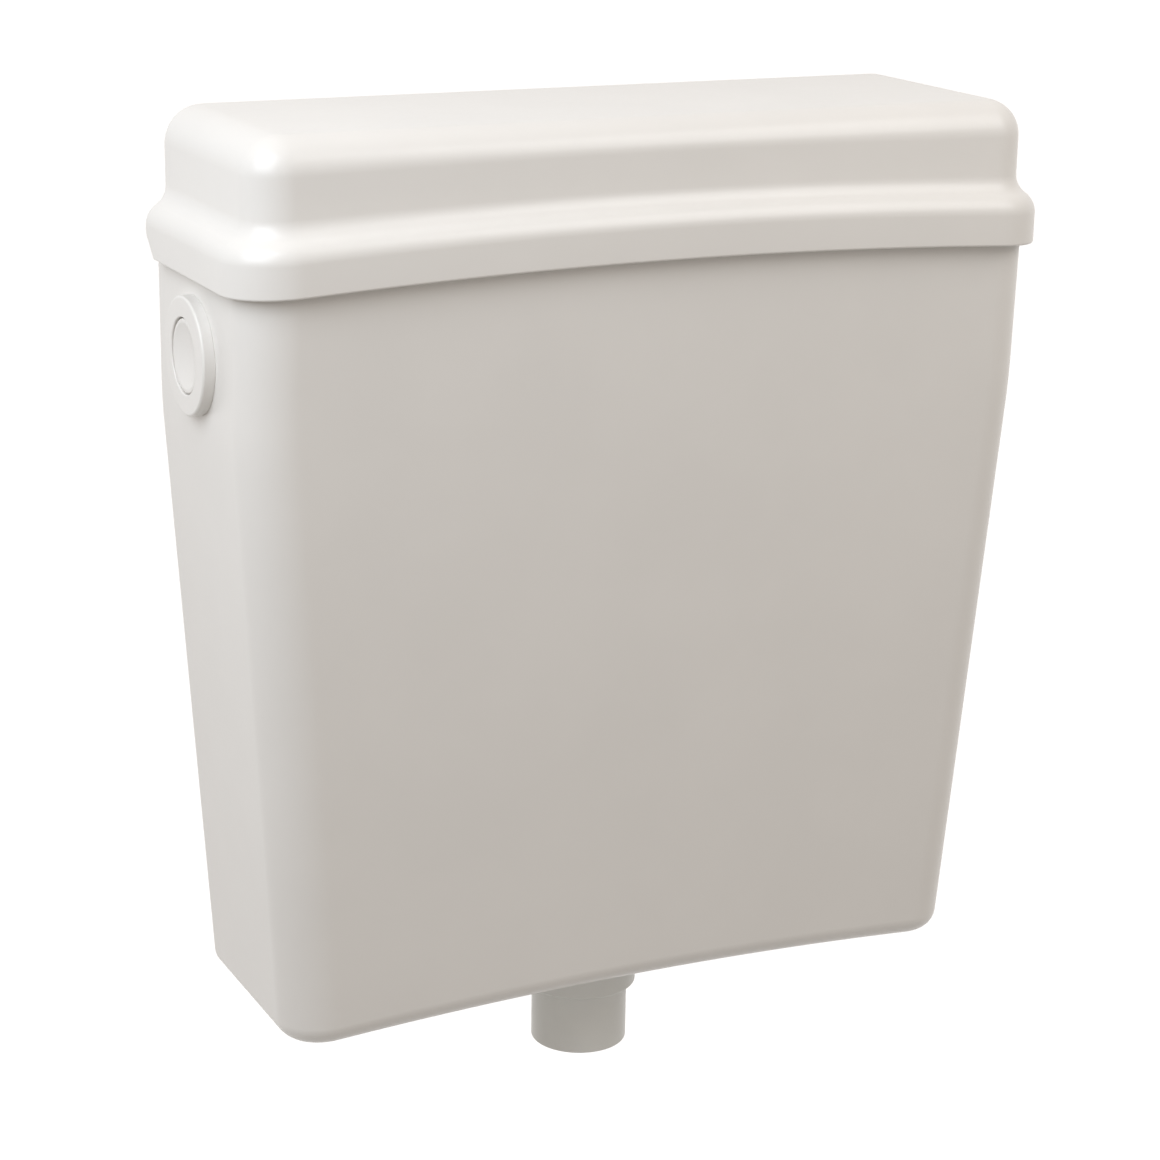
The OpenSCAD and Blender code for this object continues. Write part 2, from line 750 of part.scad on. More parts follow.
module valve_piston() {
    color(red) difference() {
        at_inlet(piston_left) cylinder(d = piston_width, h = piston_length);
        at_inlet(piston_right - piston_washer_seat)
            cylinder(d = piston_washer_width, h = piston_washer_seat + 1);
        translate([slot_x, -inlet_depth, inlet_height]) {
            half = nose_width / 2 + running_gap;
            block([-half, -ear_inner, -20], [half, ear_inner, 1.5]);
        }
    }
}

module piston_washer() {
    color(black_rubber) at_inlet(piston_right - piston_washer_seat)
        cylinder(d = piston_washer_width - 2 * slide_fit, h = piston_washer_seat + washer_proud);
}

module barrel_cap() {
    color(shade_white) union() {
        at_inlet(barrel_left - 3) cylinder(d = barrel_width + 3, h = 3);
        at_inlet(barrel_left - 1) cylinder(d = piston_width, h = 4);
    }
}

module float_arm() {
    hub_half = ear_inner - running_gap;
    arm_end = float_reach - float_width / 2 + 12;
    color(brass) difference() {
        union() {
            along_y(float_pivot_x, -inlet_depth - hub_half, float_pivot_z) cylinder(d = 10, h = 2 * hub_half);
            at_float_pivot() rotate([0, -float_swing / 2, 0]) {
                block([-2, -hub_half + 0.5, 0], [2, hub_half - 0.5, nose_length]);
                along_y(0, -hub_half + 0.5, nose_length) cylinder(d = nose_width, h = 2 * hub_half - 1);
            }
            at_float_pivot() rotate([0, -90 - float_hang, 0]) cylinder(d = float_arm_width, h = arm_end);
        }
        along_y(float_pivot_x, -inlet_depth - 20, float_pivot_z)
            cylinder(d = float_pin_width + 2 * slide_fit, h = 40);
    }
}

module float_pin() {
    color(steel) along_y(float_pivot_x, -inlet_depth - ear_outer - 1, float_pivot_z)
        cylinder(d = float_pin_width, h = 2 * ear_outer + 2);
}

module float() {
    color(blue) at_float_pivot() rotate([0, -90 - float_hang, 0]) difference() {
        union() {
            translate([0, 0, float_reach]) sphere(d = float_width);
            translate([0, 0, float_reach - float_width / 2 - 3]) cylinder(d = 14, h = 10);
        }
        translate([0, 0, float_reach - float_width / 2 - 5])
            cylinder(d = float_arm_width + 2 * slide_fit, h = 17.1);
    }
}

module fill_tube() {
    color(shade_white) translate([spout_x, -inlet_depth, collar_bottom - fill_tube_length])
        ring(spout_width + 4, spout_width + 2 * slide_fit, fill_tube_length);
}

hung() tank();
hung() lid();
hung() button_bezel();
hung() bezel_nut();
hung() push_button();
hung() button_spring();
hung() push_rod();
hung() flush_lever();
hung() lever_pin();
hung() lever_bracket();
hung() lift_yoke();
hung() lift_pin();
hung() overflow_tube();
hung() flush_seal();
hung() valve_cage();
hung() valve_seat();
hung() seat_gasket();
hung() tail_washer();
hung() tail_nut();
hung() outlet_spigot();
hung() float_valve_body();
hung() inlet_washer();
hung() inlet_nut();
hung() inlet_nozzle();
hung() valve_piston();
hung() piston_washer();
hung() barrel_cap();
hung() float_arm();
hung() float_pin();
hung() float();
hung() fill_tube();
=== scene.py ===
# %% [markdown]
# # A wall-hung toilet cistern
#
# The cistern is a white plastic tank that hangs on the wall above a toilet. A lid drops over its rim,
# a push button sits in its left side, and a short pipe leaves through its floor. Inside are the lever
# and the plunger that let the water out, and the float valve that lets it in again.
#
# The engineering model comes first: it gives every piece its place and says what moves with what.
# Blender then gives the pieces that show their true roundings, and every piece its finish.

import json
import math

import bmesh
import bpy
from mathutils import Matrix, Vector

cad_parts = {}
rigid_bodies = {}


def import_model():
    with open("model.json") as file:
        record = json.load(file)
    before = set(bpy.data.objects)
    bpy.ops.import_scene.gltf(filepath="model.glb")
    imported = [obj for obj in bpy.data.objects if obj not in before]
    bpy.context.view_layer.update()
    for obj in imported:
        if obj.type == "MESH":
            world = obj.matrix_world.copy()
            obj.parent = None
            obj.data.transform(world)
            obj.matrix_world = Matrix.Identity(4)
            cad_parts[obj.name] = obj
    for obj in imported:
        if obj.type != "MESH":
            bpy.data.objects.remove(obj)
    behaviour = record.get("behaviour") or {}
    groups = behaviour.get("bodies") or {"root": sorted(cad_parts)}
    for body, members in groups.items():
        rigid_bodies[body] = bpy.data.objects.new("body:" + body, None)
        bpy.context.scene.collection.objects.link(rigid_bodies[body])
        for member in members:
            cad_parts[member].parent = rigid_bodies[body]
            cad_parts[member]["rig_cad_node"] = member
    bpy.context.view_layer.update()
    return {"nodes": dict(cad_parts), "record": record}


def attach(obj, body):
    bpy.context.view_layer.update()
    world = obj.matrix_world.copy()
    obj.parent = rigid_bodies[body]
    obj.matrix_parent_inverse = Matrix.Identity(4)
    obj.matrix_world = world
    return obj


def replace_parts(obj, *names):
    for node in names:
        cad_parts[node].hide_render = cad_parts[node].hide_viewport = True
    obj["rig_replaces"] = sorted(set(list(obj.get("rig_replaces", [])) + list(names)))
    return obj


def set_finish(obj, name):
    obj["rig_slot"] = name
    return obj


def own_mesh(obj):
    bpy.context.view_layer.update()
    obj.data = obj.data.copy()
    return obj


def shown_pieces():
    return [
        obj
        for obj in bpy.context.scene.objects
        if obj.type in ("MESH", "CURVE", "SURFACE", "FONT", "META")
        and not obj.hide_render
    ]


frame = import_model()
record = frame["record"]
slot_of = {part["node"]: part["material_slot"] for part in record["subparts"]}
body_of = {node: body for body, nodes in record["behaviour"]["bodies"].items() for node in nodes}

# %% [markdown]
# ## Millimetres and metres
#
# A maker measures a cistern in millimetres from its floor, its middle and the wall behind it. The
# shared frame is in metres from the wall screws. One function turns the first into the second, so the
# shapes below can be written as they would be on a drawing: x to the right, y into the wall, z up.

# %% Places in the frame
MM = 0.001
fixing_height = 345.0   # the wall screws, above the tank's floor


def place(x, y, z):
    """Point of the frame in metres, for millimetres from the middle, the wall and the floor."""
    return Vector((x, y, z - fixing_height)) * MM


def new_piece(name, points, faces):
    """Mesh object from points in millimetres, with every face turned to look outwards."""
    mesh = bpy.data.meshes.new(name)
    mesh.from_pydata([place(*p) for p in points], [], faces)
    shape = bmesh.new()
    shape.from_mesh(mesh)
    bmesh.ops.recalc_face_normals(shape, faces=shape.faces)
    shape.to_mesh(mesh)
    shape.free()
    piece = bpy.data.objects.new(name, mesh)
    bpy.context.scene.collection.objects.link(piece)
    return piece


def stand_for(piece, node, sharp_angle=35.0):
    """The piece takes the place, the body and the finish of a node of the engineering model."""
    piece.data.shade_smooth()
    piece.data.set_sharp_from_angle(angle=math.radians(sharp_angle))
    piece.modifiers.new("Face weighted normals", "WEIGHTED_NORMAL").keep_sharp = True
    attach(piece, body_of[node])
    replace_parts(piece, node)
    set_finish(piece, slot_of[node])
    print(piece.name, "stands for", node, "with", len(piece.data.polygons), "faces")


# %% [markdown]
# ## Skins over rings
#
# A moulded tank has no sharp edge anywhere, and its width and depth change with height. A box with a
# bevel can't follow that. So the tank and the lid are each one closed skin: a stack of rings with the
# same count of points, joined by quads. Every ring is a rectangle with round corners, and it is drawn
# from left to right along the front and back along the rear, so the first and last ring can be closed
# by strips that run from front to rear.

# %% Rings and skins
corner_steps = 14
edge_steps = 28


def corner(x, y, radius, start):
    """Points of a quarter circle round (x, y), from the start angle in degrees."""
    angles = [math.radians(start + 90.0 * k / corner_steps) for k in range(corner_steps + 1)]
    return [(x + radius * math.cos(a), y + radius * math.sin(a)) for a in angles]


def between(a, b):
    """Points between two ends of a straight edge."""
    shares = [k / edge_steps for k in range(1, edge_steps)]
    return [(a[0] + (b[0] - a[0]) * s, a[1] + (b[1] - a[1]) * s) for s in shares]


def plan(half, front, rear, front_radius, rear_radius):
    """Rectangle with round corners, seen from above."""
    front_left = corner(-half + front_radius, front + front_radius, front_radius, 180)
    front_right = corner(half - front_radius, front + front_radius, front_radius, 270)
    rear_right = corner(half - rear_radius, rear - rear_radius, rear_radius, 0)
    rear_left = corner(-half + rear_radius, rear - rear_radius, rear_radius, 90)
    return (front_left + between(front_left[-1], front_right[0]) + front_right
            + rear_right + between(rear_right[-1], rear_left[0]) + rear_left)


def skin(name, rings):
    """Closed mesh over a stack of rings."""
    count = len(rings[0])
    half = count // 2
    last = (len(rings) - 1) * count
    faces = []
    for k in range(len(rings) - 1):
        for i in range(count):
            a, b = k * count + i, k * count + (i + 1) % count
            faces.append((a, b, b + count, a + count))
    for first in (0, last):
        for i in range(half - 1):
            faces.append((first + i, first + i + 1, first + count - 2 - i, first + count - 1 - i))
    return new_piece(name, [p for ring in rings for p in ring], faces)


def quarter(steps):
    """Sine and cosine at even steps over a quarter turn, for rounding an edge."""
    angles = [math.pi / 2 * k / steps for k in range(steps + 1)]
    return [(math.sin(a), math.cos(a)) for a in angles]


print("points in a ring:", len(plan(100, -100, 0, 20, 5)))

# %% [markdown]
# ## Turned shapes
#
# The button, its bezel and the outlet are round about an axis. Each is an outline of corners, given
# as radius and distance along the axis, that is turned about it. Every corner has its own fillet, as
# a mould cutter would leave it, because a sharp edge would catch no light.

# %% Fillets and turning
UP, RIGHT, LEFT, BACK = (0, 0, 1), (1, 0, 0), (-1, 0, 0), (0, 1, 0)
many_sides, fewer_sides = 128, 96   # facets round a turned shape
tiny = 1e-6


def with_fillets(corners, closed, steps=6):
    """Outline points, with a true arc at each corner (radius, along, fillet)."""
    points = []
    for k, (radius, along, fillet) in enumerate(corners):
        here = Vector((radius, along))
        at_end = not closed and k in (0, len(corners) - 1)
        if at_end or fillet == 0:
            points.append(here)
            continue
        to_last = (Vector(corners[k - 1][:2]) - here).normalized()
        to_next = (Vector(corners[(k + 1) % len(corners)][:2]) - here).normalized()
        half_angle = to_last.angle(to_next) / 2
        centre = here + (to_last + to_next).normalized() * fillet / math.sin(half_angle)
        start = here + to_last * fillet / math.tan(half_angle) - centre
        end = here + to_next * fillet / math.tan(half_angle) - centre
        turn = start.angle_signed(end)
        for s in range(steps + 1):
            points.append(centre + Matrix.Rotation(-turn * s / steps, 2) @ start)
    return points


def turned(name, outline, origin, axis, closed=True, segments=many_sides, form=None):
    """Solid of revolution about the line from origin along axis, in millimetres.

    A form may change a radius by its place along the axis and its angle, for threads, flats and lugs."""
    axis = Vector(axis)
    side = axis.cross(Vector(BACK)) if abs(axis.y) < 0.5 else Vector(RIGHT)
    across = axis.cross(side)
    points, rings, faces = [], [], []
    for radius, along in outline:
        steps = segments if radius > tiny else 1
        rings.append([len(points) + j for j in range(steps)])
        for j in range(steps):
            a = 2 * math.pi * j / segments
            r = form(radius, along, a) if form else radius
            points.append(Vector(origin) + axis * along + (side * math.cos(a) + across * math.sin(a)) * r)
    pairs = list(zip(rings, rings[1:])) + ([(rings[-1], rings[0])] if closed else [])
    for low, high in pairs:
        for j in range(segments):
            n = j + 1
            quad = [low[j % len(low)], low[n % len(low)], high[n % len(high)], high[j % len(high)]]
            face = list(dict.fromkeys(quad))
            if len(face) > 2:
                faces.append(face)
    return new_piece(name, points, faces)


def rod(name, radius, start, end, origin, axis):
    """Plain rod, used only to cut or to raise a boss."""
    outline = [(0, start), (radius, start), (radius, end), (0, end)]
    return turned(name, outline, origin, axis, closed=False, segments=fewer_sides)


def carve(piece, tool, operation):
    """Joins the tool to the piece or cuts it out, and takes the tool away."""
    step = piece.modifiers.new(operation, "BOOLEAN")
    step.operation = operation
    step.solver = "EXACT"
    step.object = tool
    shaped = piece.evaluated_get(bpy.context.evaluated_depsgraph_get())
    mesh = bpy.data.meshes.new_from_object(shaped)
    piece.modifiers.clear()
    piece.data = mesh
    bpy.data.objects.remove(tool)


# %% [markdown]
# ## The tank
#
# The tank is one injection moulding, about 3 mm thick. Its sides lean in below a soft bend, its front
# leans in all the way down, and its floor is arched so that it drains to the outlet. The rings go up
# the outside, over the rim and down the inside, which leaves a real wall to look at when the lid is off.

# %% Tank sizes
tank_half = 206.0
floor_half = 185.0
tank_depth = 132.0
floor_depth = 119.0
lip_height = 371.0
rim_height = 387.0
bend_height = 301.0
bend_softness = 12.0
tank_wall = 3.2
tank_corner = 24.0
tank_rear_corner = 5.0
least_corner = 1.0
floor_edge = 11.0
floor_arch = 7.2
rim_round = 0.8
side_slope = (tank_half - floor_half) / bend_height
front_slope = (tank_depth - floor_depth) / lip_height


def tank_half_at(z):
    """Half the tank's width: a leaning side, a soft bend and an upright side."""
    t = max(-1.0, (z - bend_height) / bend_softness)
    if t == -1.0:
        return floor_half + side_slope * z
    return tank_half - side_slope * bend_softness * max(0.0, 1 - t) ** 2 / 4


def tank_ring(z, inset, rise=0.0):
    """Ring of the tank at a height, inside the outer face, arched in the middle of the width."""
    half = tank_half_at(z)
    points = plan(half - inset, -floor_depth - front_slope * z + inset, -inset,
                  tank_corner - inset, max(tank_rear_corner - inset, least_corner))
    ring = []
    for i, (x, y) in enumerate(points):
        up = rise * (1 - (x / half) ** 2)
        forward = front_slope * up if i < len(points) // 2 else 0.0
        ring.append((x, y - forward, z + up))
    return ring


# %% Tank skin
def tank_side(inset, edge, base):
    """Rings of one face of the wall, from the floor to just below the rim."""
    rings = [tank_ring(base + edge * (1 - c), inset + edge * (1 - s), floor_arch) for s, c in quarter(8)]
    rings += [tank_ring(bend_height + bend_softness * t / 4, inset) for t in range(-4, 5)]
    return rings


outside = tank_side(0.0, floor_edge, 0.0)
inside = tank_side(tank_wall, floor_edge - tank_wall, tank_wall)
rim_curve = [(rim_height - rim_round * (1 - s), rim_round * (1 - c)) for s, c in quarter(4)]
outer_rim = [tank_ring(z, inset) for z, inset in rim_curve]
inner_rim = [tank_ring(z, tank_wall - inset) for z, inset in rim_curve]
tank = skin("tank_moulding", outside + outer_rim + inner_rim[::-1] + inside[::-1])

# %% Bosses and holes of the tank
button_height = 333.5
button_depth = 57.0
inlet_height = 331.0
inlet_depth = 50.0
outlet_depth = 49.0
fixing_spacing = 160.0
boss_radius, boss_under, boss_top = 41.0, 5.9, 11.7
pad_radius, pad_rise, screw_radius = 12.0, 2.5, 4.0
outlet_hole, button_hole, inlet_hole = 30.25, 21.3, 12.3   # radii
# Reach of the drills along their axes
through_back, through_floor, through_side = (-20.0, 10.0), (-5.0, 30.0), (190.0, 215.0)

outlet = (0, -outlet_depth, 0)
inlet = (0, -inlet_depth, inlet_height)
button_line = (0, -button_depth, button_height)
carve(tank, rod("outlet_boss", boss_radius, boss_under, boss_top, outlet, UP), "UNION")
for side in (-1, 1):
    screw = (side * fixing_spacing / 2, 0, fixing_height)
    carve(tank, rod("screw_pad", pad_radius, -tank_wall - pad_rise, -tank_wall / 2, screw, BACK), "UNION")
    carve(tank, rod("screw_hole", screw_radius, *through_back, screw, BACK), "DIFFERENCE")
carve(tank, rod("outlet_hole", outlet_hole, *through_floor, outlet, UP), "DIFFERENCE")
carve(tank, rod("button_hole", button_hole, *through_side, button_line, LEFT), "DIFFERENCE")
carve(tank, rod("inlet_hole", inlet_hole, *through_side, inlet, RIGHT), "DIFFERENCE")
stand_for(tank, "tank")

# %% [markdown]
# ## The lid
#
# The lid's outline is what one remembers of such a cistern: a lip that hangs over the tank, a shoulder
# that bends in and up again, and a soft roll onto a flat top. The lip's front edge is arched, and the
# arch fades out towards the top. The shoulder is two equal arcs. The rear is flat against the wall, and
# the tank's own back wall stands where a rear lip would be.

# %% Lid sizes
lid_half = 212.0
lid_depth = 139.0
lid_height = 70.6
lid_wall = 3.0
lip_rise = 15.0
lip_corner = 30.0
lip_arch = 7.1
lip_round = 1.2
ledge_height = 16.0
shoulder_step = 10.2
shoulder_rise = 18.6
lid_edge = 18.0
lid_rear_edge = 4.0
lid_rear_corner = 6.0
rear_gap = 1.0
lip_relief = 16.0
shoulder_turn = 2 * math.atan(shoulder_step / shoulder_rise)
shoulder_radius = shoulder_rise / (2 * math.sin(shoulder_turn))


def lid_ring(height, inset, rear_inset, rise):
    """Ring of the lid at a height above its lower edge, with its front raised in the middle."""
    points = plan(lid_half - inset, -lid_depth + inset, -rear_inset,
                  lip_corner - inset, lid_rear_corner - rear_inset)
    front = len(points) // 2
    lift = [rise * (1 - (x / lid_half) ** 2) if i < front else 0.0 for i, (x, y) in enumerate(points)]
    return [(x, y, lip_height + height + up) for (x, y), up in zip(points, lift)]


def outer_lid_ring(height, inset, rear_inset=0.0):
    """Ring of the lid's outer face, whose arch fades out towards the top."""
    return lid_ring(height, inset, rear_inset, lip_arch * (1 - (height / lid_height) ** 2))


# %% Lid skin
ceiling = lid_height - lid_edge
roll = lid_edge - lid_wall
inner_step = shoulder_step + lid_wall
inner_rear = lid_wall + rear_gap
inner_roll = [lid_ring(ceiling + roll * s, inner_step + roll * (1 - c), inner_rear, 0.0)
              for s, c in quarter(8)]
ledge = [lid_ring(ledge_height, inner_step, inner_rear, 0.0), lid_ring(ledge_height, lid_wall, lid_wall, 0.0)]
lip_curve = [(lip_round * (1 - s), lip_round * (1 - c)) for s, c in quarter(4)]
inner_lip = [lid_ring(height, lid_wall - inset, lid_wall, lip_arch) for height, inset in lip_curve]
outer_lip = [outer_lid_ring(height, inset) for height, inset in lip_curve]
arc = [shoulder_turn * k / 8 for k in range(9)]
bend_in = [(shoulder_radius * math.sin(a), shoulder_radius * (1 - math.cos(a))) for a in arc]
bend_up = [(shoulder_rise - up, shoulder_step - step) for up, step in bend_in[-2::-1]]
shoulder = [outer_lid_ring(lip_rise + up, step) for up, step in bend_in + bend_up]
outer_roll = [
    outer_lid_ring(ceiling + lid_edge * s, shoulder_step + lid_edge * (1 - c), lid_rear_edge * (1 - c))
    for s, c in quarter(12)]
lid = skin("lid_moulding", inner_roll[::-1] + ledge + inner_lip + outer_lip[::-1] + shoulder + outer_roll)

# %% Rear of the lid
rear_half = lid_half - lid_wall / 2
wall_room = tank_wall + 1.3
past, past_ends = 1.0, 10.0   # how far the cutters reach beyond the lid
rear_low, rear_high = lip_height - past, rim_height


def prism(name, outline, left, right):
    """Bar along x with an outline of (y, z) corners, used only to cut."""
    count = len(outline)
    points = [(x, y, z) for x in (left, right) for y, z in outline]
    faces = [tuple(range(count)), tuple(range(count, 2 * count))]
    faces += [(i, (i + 1) % count, count + (i + 1) % count, count + i) for i in range(count)]
    return new_piece(name, points, faces)


room = [(-wall_room, rear_low), (past, rear_low), (past, rear_high), (-wall_room, rear_high)]
carve(lid, prism("room_for_back_wall", room, -rear_half, rear_half), "DIFFERENCE")
slope = [(-lip_relief - past, rear_low), (past, rear_low), (past, lip_height + lip_relief + past)]
carve(lid, prism("sloped_ends", slope, -lid_half - past_ends, lid_half + past_ends), "DIFFERENCE")
stand_for(lid, "lid")

# %% [markdown]
# ## The push button
#
# A round bezel is clamped in the tank's side by a nut, and the button slides in it against a spring.
# The button's face is a shallow dish that a finger finds by feel, and it lies a little below the
# bezel's face. Distances along the axis are measured outwards from the tank's side.

# %% Screw threads
rings_a_pitch = 8
flank_slope, crest_share = 1.6, 0.3


def thread(major, start, end, pitch, thread_depth):
    """Form of a screw thread: grooves in the major radius that climb one pitch in each turn."""
    def form(radius, along, angle):
        if abs(radius - major) > tiny or not start <= along <= end:
            return radius
        wave = abs(2 * ((along / pitch - angle / (2 * math.pi)) % 1) - 1)
        groove = 1 - min(1.0, max(0.0, flank_slope * wave - crest_share))
        fade = min(1.0, (along - start) / pitch, (end - along) / pitch)
        return radius - thread_depth * groove * fade
    return form


def thread_run(major, start, end, pitch):
    """Outline points close enough together to carry a thread."""
    steps = round(rings_a_pitch * (end - start) / pitch)
    return [(major, start + (end - start) * k / steps, 0) for k in range(steps + 1)]


# %% Bezel and button
button_axis = (-tank_half, -button_depth, button_height)
bezel_rise, bezel_radius, bezel_bore = 6.0, 28.0, 18.0
sleeve_radius, sleeve_depth, sleeve_end = 21.0, 22.0, 2.5
stem_radius, stem_room = 6.0, 0.3
sleeve_thread = (-sleeve_depth + 0.8, -tank_wall - 0.5, 3.0)   # start, end and pitch
sleeve_thread_depth = 0.9
bezel_outline = [
    (sleeve_radius, -sleeve_depth, 0.5), *thread_run(sleeve_radius, *sleeve_thread), (sleeve_radius, 0, 0),
    (bezel_radius, 0, 0.3), (bezel_radius, bezel_rise, 1.3), (bezel_bore, bezel_rise, 0.6),
    (bezel_bore, -sleeve_depth + sleeve_end, 0.3), (stem_radius + stem_room, -sleeve_depth + sleeve_end, 0),
    (stem_radius + stem_room, -sleeve_depth, 0)]
bezel = turned("button_bezel_moulding", with_fillets(bezel_outline, closed=True), button_axis, LEFT,
               form=thread(sleeve_radius, *sleeve_thread, sleeve_thread_depth))
stand_for(bezel, "button_bezel")

button_radius, button_face, button_thick = 17.5, 5.4, 6.0
stem_bore, stem_bore_end = stem_radius / 2, -sleeve_depth + 12.0
dish_depth, dish_radius, dish_steps = 2.4, 15.5, 13
dish_sphere = (dish_radius ** 2 + dish_depth ** 2) / (2 * dish_depth)
dish = []
for k in range(dish_steps):
    r = dish_radius * k / dish_steps
    dish.append((r, button_face - dish_depth + dish_sphere - math.sqrt(dish_sphere ** 2 - r ** 2), 0))
button_outline = dish + [
    (dish_radius, button_face, 0.8), (button_radius, button_face, 0.9),
    (button_radius, button_face - button_thick, 0.4), (stem_radius, button_face - button_thick, 0.6),
    (stem_radius, -sleeve_depth, 0.3), (stem_bore, -sleeve_depth, 0), (stem_bore, stem_bore_end, 0),
    (0, stem_bore_end, 0)]
button = turned("push_button_moulding", with_fillets(button_outline, closed=False), button_axis, LEFT,
                closed=False)
stand_for(button, "push_button")

# %% [markdown]
# ## The return spring
#
# The spring is one length of drawn wire, coiled five times, with its end coils pressed flat. It is swept
# as a tube along a helix. One end stands on the bottom of the bezel's sleeve, so the coils close up towards
# it when the button is pressed.

# %% Return spring
wire_radius, coil_radius, coils = 0.6, 11.0, 5
end_gap, end_flatness = 0.2, 0.55
spring_start = button_face - button_thick - wire_radius - end_gap
spring_end = -sleeve_depth + sleeve_end + wire_radius + end_gap
wire_sides, rings_a_coil = 12, 32


def flat_at_ends(t):
    """Share of the spring's length at a share of its coils: slow in the first and last coil."""
    return t - math.sin(2 * math.pi * t) / (2 * math.pi) * end_flatness


points, faces = [], []
for k in range(coils * rings_a_coil + 1):
    t = k / (coils * rings_a_coil)
    angle = 2 * math.pi * coils * t
    x = -tank_half - (spring_start + (spring_end - spring_start) * flat_at_ends(t))
    for s in range(wire_sides):
        around = 2 * math.pi * s / wire_sides
        r = coil_radius + wire_radius * math.cos(around)
        points.append((x + wire_radius * math.sin(around), -button_depth + r * math.cos(angle),
                       button_height + r * math.sin(angle)))
for k in range(coils * rings_a_coil):
    for s in range(wire_sides):
        a, b = k * wire_sides + s, k * wire_sides + (s + 1) % wire_sides
        faces.append((a, b, b + wire_sides, a + wire_sides))
faces += [tuple(range(wire_sides)), tuple(range(len(points) - wire_sides, len(points)))]
spring = new_piece("return_spring_wire", points, faces)
stand_for(spring, "button_spring", sharp_angle=60.0)

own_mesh(spring)

# %% [markdown]
# ## Nuts
#
# Three nuts hold the fittings in the tank's walls. The two plumbing nuts are hexagons whose corners are
# turned off at the ends, which leaves the curved edges one knows from any nut. The bezel's nut is a ring
# with six lugs for the fingers. All three are turned shapes whose radius changes with the angle.

# %% Hexagon nuts
chamfer_slope = 1.7
chamfer_step, chamfer_rings = 0.25, 13


def six_sided(corner_radius, low, high):
    """Form of a hexagon with its corners turned off towards the free ends."""
    flat_radius = corner_radius * math.cos(math.pi / 6)

    def form(radius, along, angle):
        if abs(radius - corner_radius) > tiny:
            return radius
        flat = flat_radius / math.cos(angle % (math.pi / 3) - math.pi / 6)
        return min(flat, flat_radius + chamfer_slope * min(along - low, high - along))
    return form


def hexagon_nut(name, corner_radius, bore, low, high, origin, axis):
    """Nut between two places along an axis, with fine rings where its corners are turned off."""
    ends = [chamfer_step * k for k in range(chamfer_rings)]
    heights = [low + e for e in ends] + [high - e for e in reversed(ends)]
    outline = [(bore, low, 0.4)] + [(corner_radius, h, 0) for h in heights] + [(bore, high, 0.4)]
    return turned(name, with_fillets(outline, closed=True), origin, axis, segments=fewer_sides,
                  form=six_sided(corner_radius, low, high))


nut_clearance = 0.05
shank_radius, shank_nut_corner, shank_nut_low, shank_nut_high = 12.0, 19.0, 206.0, 214.0
inlet_nut = hexagon_nut("inlet_backnut", shank_nut_corner, shank_radius + nut_clearance,
                        shank_nut_low, shank_nut_high, inlet, RIGHT)
stand_for(inlet_nut, "inlet_nut")

tail_radius, tail_nut_corner, tail_nut_low, tail_nut_high = 29.5, 36.5, -5.1, 2.4
tail_nut_bore = tail_radius + nut_clearance
face_radius, face_low, face_high = 35.5, 1.9, 3.9
tail_nut = hexagon_nut("outlet_backnut", tail_nut_corner, tail_nut_bore,
                       tail_nut_low, tail_nut_high, outlet, UP)
face_outline = [(tail_nut_bore, face_low, 0), (face_radius, face_low, 0.3), (face_radius, face_high, 0.3),
                (tail_nut_bore, face_high, 0)]
washer_face = turned("washer_face", with_fillets(face_outline, closed=True), outlet, UP, segments=fewer_sides)
carve(tail_nut, washer_face, "UNION")
stand_for(tail_nut, "tail_nut")


# %% Ring nut of the bezel
lug_half, lug_flank = math.radians(8), math.radians(3)


def lugged(rim, lug_rise, lugs):
    """Form of a ring with rounded lugs round its rim."""
    def form(radius, along, angle):
        if abs(radius - rim) > tiny:
            return radius
        pitch = 2 * math.pi / lugs
        off_centre = abs((angle + pitch / 2) % pitch - pitch / 2)
        share = min(1.0, max(0.0, (lug_half - off_centre) / lug_flank))
        return radius + lug_rise * share
    return form


ring_radius, ring_low, ring_high, ring_edge = 27.0, 3.2, 11.2, 0.5
ring_bore, lug_rise, lugs = sleeve_radius + nut_clearance, 3.0, 6
ring_outline = [
    (ring_bore, ring_low, 0.4), (ring_radius, ring_low, 0), (ring_radius, ring_low + ring_edge, 0),
    (ring_radius, ring_high - ring_edge, 0), (ring_radius, ring_high, 0), (ring_bore, ring_high, 0.4)]
ring_nut = turned("bezel_ring_nut", with_fillets(ring_outline, closed=True), button_axis, RIGHT, segments=144,
                  form=lugged(ring_radius, lug_rise, lugs))
stand_for(ring_nut, "bezel_nut")

# %% [markdown]
# ## The outlet
#
# The valve seat is clamped to the tank's floor, and its tail comes out below as a plain collar. The
# spigot for the flush pipe is glued into that collar. Both have softly rounded lower edges, which
# catch a thin line of light.

# %% Valve seat and spigot
tail_end = -20.0
socket_radius, socket_top = 24.05, 0.0
flange_radius, flange_base, flange_top = 39.0, 14.7, 18.7
seat_height, waterway = 22.7, 21.0
seat_radius = waterway + 3.0
seat_outline = [
    (waterway, seat_height, 0.5), (seat_radius, seat_height, 0.5), (seat_radius, flange_top, 0.8),
    (flange_radius, flange_top, 0.7), (flange_radius, flange_base, 0.3), (tail_radius, flange_base, 0),
    (tail_radius, tail_end, 1.3), (socket_radius, tail_end, 0.5), (socket_radius, socket_top, 0),
    (waterway, socket_top, 0)]
seat = turned("valve_seat_moulding", with_fillets(seat_outline, closed=True), outlet, UP)
stand_for(seat, "valve_seat")

